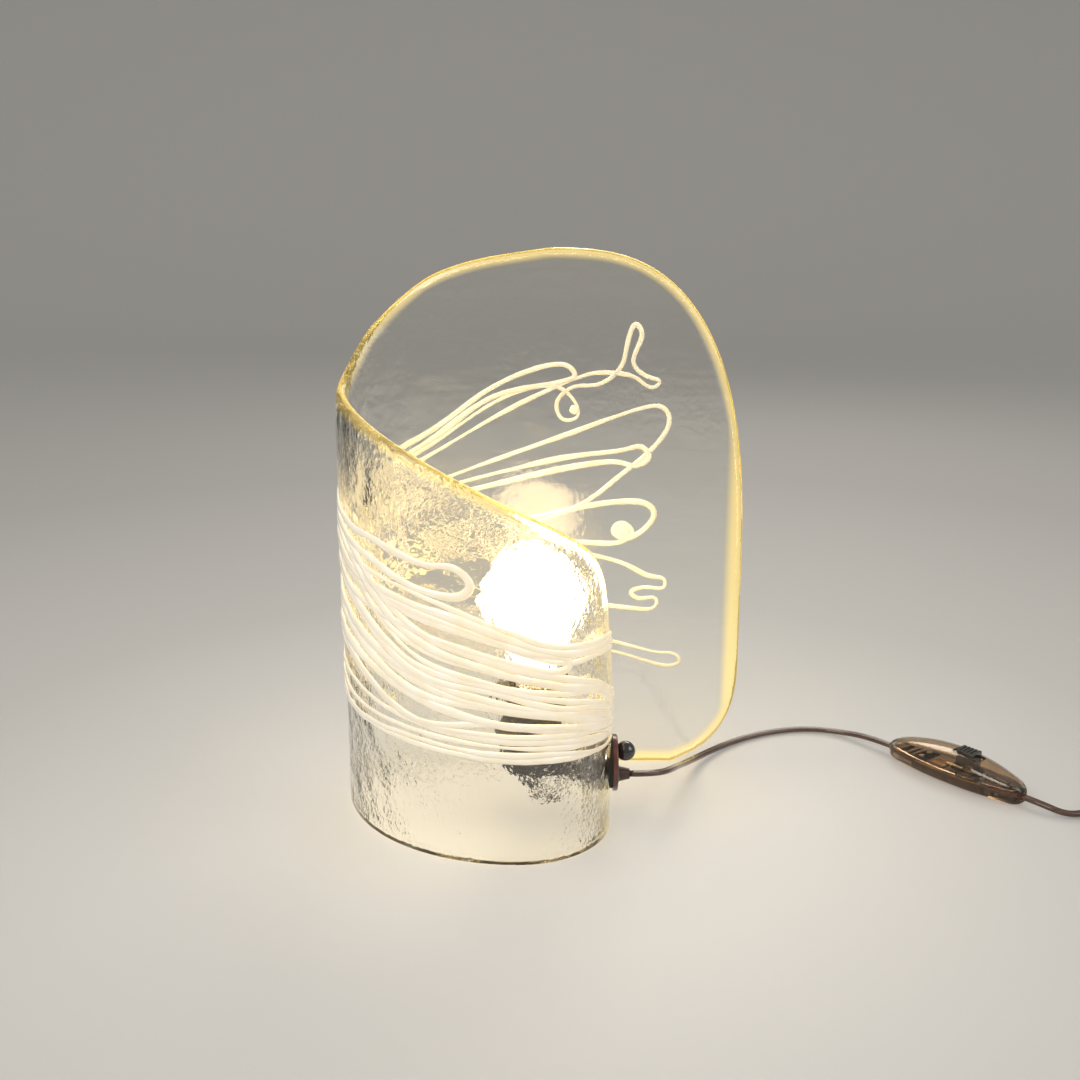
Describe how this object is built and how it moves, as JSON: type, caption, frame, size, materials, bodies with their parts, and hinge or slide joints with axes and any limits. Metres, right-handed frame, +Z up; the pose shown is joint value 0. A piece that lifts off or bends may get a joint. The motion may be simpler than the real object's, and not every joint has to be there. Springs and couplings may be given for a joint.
{
  "type": "table lamp",
  "caption": "Table lamp of one curled sheet of thick cast glass with fused white trails, a bulb on an arm bolted through it, and a flex with an in-line slide switch and plug.",
  "frame": {"origin": "bottom centre of the glass body's box, on the surface that it stands on", "axes": "+Z up, +X to the right where the flap ends and the flex leaves, -Y to the front"},
  "size_m": [0.5734, 0.2291, 0.3404],
  "materials": {
    "sheet_glass": "cast, rippled, fire-polished rim",
    "white_glass": "opaque trailed glass, gloss",
    "dark_enamel": "dark red-brown enamel",
    "black_rubber": "matt",
    "dark_bracket": "satin black",
    "zinc_steel": "zinc plated",
    "black_gloss": "gloss",
    "bush_plastic": "satin",
    "holder_plastic": "satin gloss",
    "porcelain": "glazed",
    "brass_contact": "plain",
    "core_insulation": "satin",
    "bulb_glass": "clear bulb, lit warm",
    "cap_aluminium": "rolled",
    "black_glass": "vitrified black glass",
    "stem_glass": "clear",
    "hot_wire": "glowing wire",
    "brown_flex": "dark brown, translucent twin flex",
    "smoky_plastic": "smoky transparent",
    "block_plastic": "satin",
    "tie_strap": "woven strap",
    "plug_plastic": "moulded",
    "pin_brass": "nickel-free brass"
  },
  "bodies": {
    "lamp": {"glass_sheet": "sheet_glass", "white_trails": "white_glass", "outer_rosette": "dark_enamel", "outer_pad": "black_rubber", "inner_pad": "black_rubber", "inner_plate": "dark_bracket", "clamp_stud": "zinc_steel", "stud_washer": "zinc_steel", "stud_nut": "zinc_steel", "cord_bush": "bush_plastic", "holder_arm": "dark_bracket", "nipple": "zinc_steel", "nipple_nut": "zinc_steel", "holder_cap": "holder_plastic", "holder_skirt": "holder_plastic", "holder_insert": "porcelain", "terminal_screws": "zinc_steel", "screw_shell": "brass_contact", "centre_contact": "brass_contact", "inner_leads": "core_insulation", "lamp_flex": "brown_flex", "switch_lower": "smoky_plastic", "switch_upper": "smoky_plastic", "contact_block": "block_plastic", "contact_strips": "brass_contact", "clamp_screws": "zinc_steel", "switch_cores": "core_insulation", "plug_flex": "brown_flex", "cord_coil": "brown_flex", "coil_tie": "tie_strap", "tail_flex": "brown_flex", "plug_relief": "black_rubber", "plug_body": "plug_plastic", "plug_pins": "pin_brass"},
    "bulb": {"bulb_envelope": "bulb_glass", "bulb_cap": "cap_aluminium", "bulb_insulator": "black_glass", "bulb_contact": "brass_contact", "bulb_stem": "stem_glass", "bulb_filament": "hot_wire"},
    "knob": {"ball_knob": "black_gloss"},
    "slider": {"switch_slider": "black_gloss"}
  },
  "joints": [
    {"name": "bulb_turn", "type": "hinge", "parent": "lamp", "child": "bulb", "pos_m": [-0.00833, -0.0205, 0.15], "axis": [0, 0, 1], "continuous": true},
    {"name": "knob_turn", "type": "hinge", "parent": "lamp", "child": "knob", "pos_m": [0.03846, -0.0205, 0.0475], "axis": [1, 0, 0], "continuous": true},
    {"name": "switch_slide", "type": "slide", "parent": "lamp", "child": "slider", "axis": [0.6225, -0.7826, 0], "range_m": [-0.003, 0.003]}
  ]
}
